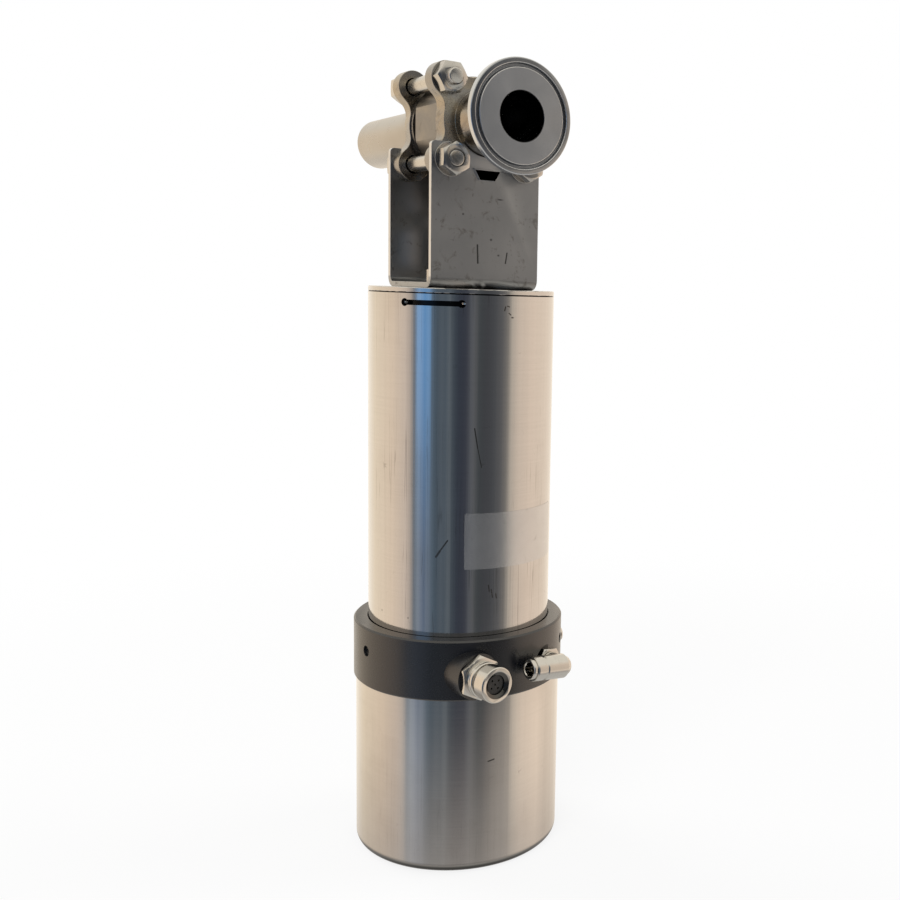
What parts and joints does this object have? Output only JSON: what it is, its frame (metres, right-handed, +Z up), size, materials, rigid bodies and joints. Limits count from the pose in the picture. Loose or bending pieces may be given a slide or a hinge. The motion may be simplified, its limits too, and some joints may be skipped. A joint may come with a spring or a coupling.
{
  "type": "pneumatically actuated ball valve",
  "caption": "Quarter-turn ball valve with a clamp ferrule and a plain tube end, carried by a bracket on an upright spring-return air cylinder over a control head.",
  "frame": {"origin": "centre of the flat end of the control head cover, on which the unit stands", "axes": "+Z up along the cylinder's axis, +X along the flow axis towards the clamp ferrule"},
  "size_m": [0.1688, 0.1053, 0.3785],
  "materials": {
    "cover_steel": "satin stainless steel, deep drawn",
    "collar_black": "black anodised",
    "tube_steel": "stainless steel, brushed round",
    "machined_aluminium": "machined",
    "bracket_sheet": "dull, scuffed stainless sheet",
    "cast_steel": "cast stainless steel, partly polished",
    "pipe_steel": "turned and drawn stainless steel, satin",
    "polished_steel": "polished stainless steel",
    "fastener_steel": "bright stainless steel",
    "spring_steel": "oiled spring steel",
    "nickel_brass": "nickel-plated brass",
    "contact_gold": "gold-plated",
    "bearing_bronze": "bronze",
    "black_plastic": "moulded",
    "grey_plastic": "moulded",
    "board_green": "printed board",
    "white_plastic": "fluoroplastic",
    "rubber_black": "moulded rubber"
  },
  "bodies": {
    "housing": {"control_cover": "cover_steel", "control_collar": "collar_black", "cover_o_ring": "rubber_black", "set_screws": "fastener_steel", "sensor_socket_nut": "nickel_brass", "sensor_socket_shell": "nickel_brass", "sensor_socket_insert": "black_plastic", "sensor_socket_pins": "contact_gold", "inlet_stem": "nickel_brass", "exhaust_plug": "nickel_brass", "actuator_tube": "tube_steel", "lock_wires": "fastener_steel", "actuator_lid": "machined_aluminium", "lid_o_ring": "rubber_black", "lid_bush": "bearing_bronze", "lid_shaft_seal": "rubber_black", "bulkhead": "machined_aluminium", "bulkhead_o_ring": "rubber_black", "bulkhead_bush": "bearing_bronze", "bulkhead_shaft_seal": "rubber_black", "guide_rods": "polished_steel", "return_spring": "spring_steel", "bracket": "bracket_sheet", "bracket_screws": "fastener_steel", "bracket_washers": "fastener_steel", "valve_body": "cast_steel", "body_gaskets": "white_plastic", "ball_seats": "white_plastic", "end_cap_ferrule": "cast_steel", "clamp_ferrule": "pipe_steel", "end_cap_tube": "cast_steel", "tube_stub": "pipe_steel", "through_bolts": "fastener_steel", "bolt_nuts": "fastener_steel", "bolt_washers": "fastener_steel", "stem_thrust_washer": "white_plastic", "stem_packing": "white_plastic", "packing_follower": "fastener_steel", "chassis_posts": "fastener_steel", "chassis_plate": "machined_aluminium", "end_sensors": "grey_plastic", "terminal_board": "board_green", "pilot_valve": "black_plastic"},
    "valve_train": {"actuator_shaft": "fastener_steel", "shaft_coupling": "fastener_steel", "coupling_screws": "spring_steel", "valve_stem": "fastener_steel", "stem_gland_nut": "fastener_steel", "disc_springs": "spring_steel", "ball": "polished_steel", "target_disc": "black_plastic", "target_magnets": "polished_steel"},
    "piston_group": {"piston": "machined_aluminium", "piston_seal": "rubber_black", "piston_rod_seal": "rubber_black", "piston_guide_ring": "white_plastic", "cross_pin": "polished_steel"},
    "elbow": {"elbow_body": "nickel_brass"},
    "collet": {"release_collet": "nickel_brass"}
  },
  "joints": [
    {"name": "valve_turn", "type": "hinge", "parent": "housing", "child": "valve_train", "pos_m": [0, 0, 0.3], "axis": [0, 0, 1], "range_deg": [0, 90], "stiffness_Nm_per_rad": 1},
    {"name": "piston_lift", "type": "slide", "parent": "housing", "child": "piston_group", "axis": [0, 0, 1], "range_m": [0, 0.03], "deforming": ["return_spring"]},
    {"name": "elbow_swivel", "type": "hinge", "parent": "housing", "child": "elbow", "pos_m": [0.05587, 0.02499, 0.0974], "axis": [0.9925, 0.1219, 0], "continuous": true},
    {"name": "collet_press", "type": "slide", "parent": "elbow", "child": "collet", "axis": [-0.1212, 0.9871, -0.1045], "range_m": [0, 0.0015], "stiffness_N_per_m": 500}
  ],
  "couplings": [
    {"joint": "piston_lift", "follows": "valve_turn", "m_per_rad": 0.01909}
  ]
}
